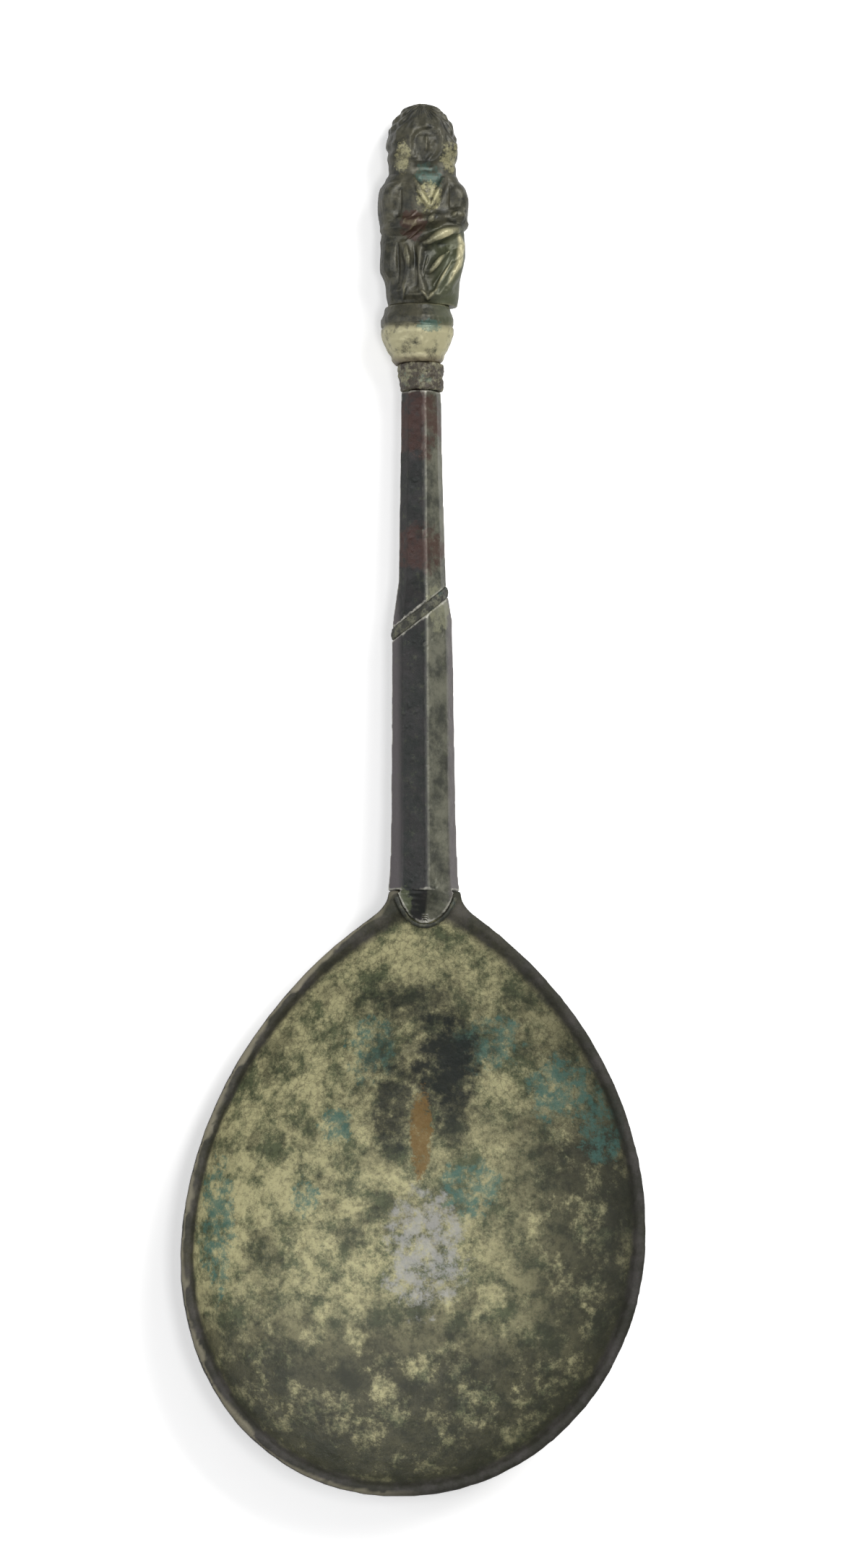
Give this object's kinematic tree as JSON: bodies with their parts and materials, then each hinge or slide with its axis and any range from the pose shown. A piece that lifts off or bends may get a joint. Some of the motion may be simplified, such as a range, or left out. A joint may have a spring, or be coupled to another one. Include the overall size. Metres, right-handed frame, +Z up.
{
  "type": "spoon",
  "caption": "Cast copper-alloy spoon with a fig-shaped bowl, a faceted spliced stem and a small draped standing figure as the knop.",
  "frame": {"origin": "middle of the small worn flat under the bowl, where the spoon rests", "axes": "+Y from the bowl along the stem to the knop, +Z up out of the bowl, +X to the right when the bowl is seen from above with the knop up the page"},
  "size_m": [0.0535, 0.1598, 0.0107],
  "materials": {
    "bowl_patina": "old mottled brown and green patina, softly polished by use",
    "stem_patina": "dark patina, worn brighter on the ridge",
    "knop_patina": "dark in the recesses, pale green and cream on the folds",
    "solder": "rough, corroded, pale",
    "braze": "smooth bead under patina"
  },
  "bodies": {
    "root": {"bowl": "bowl_patina", "bowl_braze": "braze", "stem_root": "stem_patina", "stem_shank": "stem_patina", "splice_solder": "solder", "knop_collar": "solder", "knop_pedestal": "knop_patina", "knop_figure": "knop_patina"}
  },
  "joints": []
}
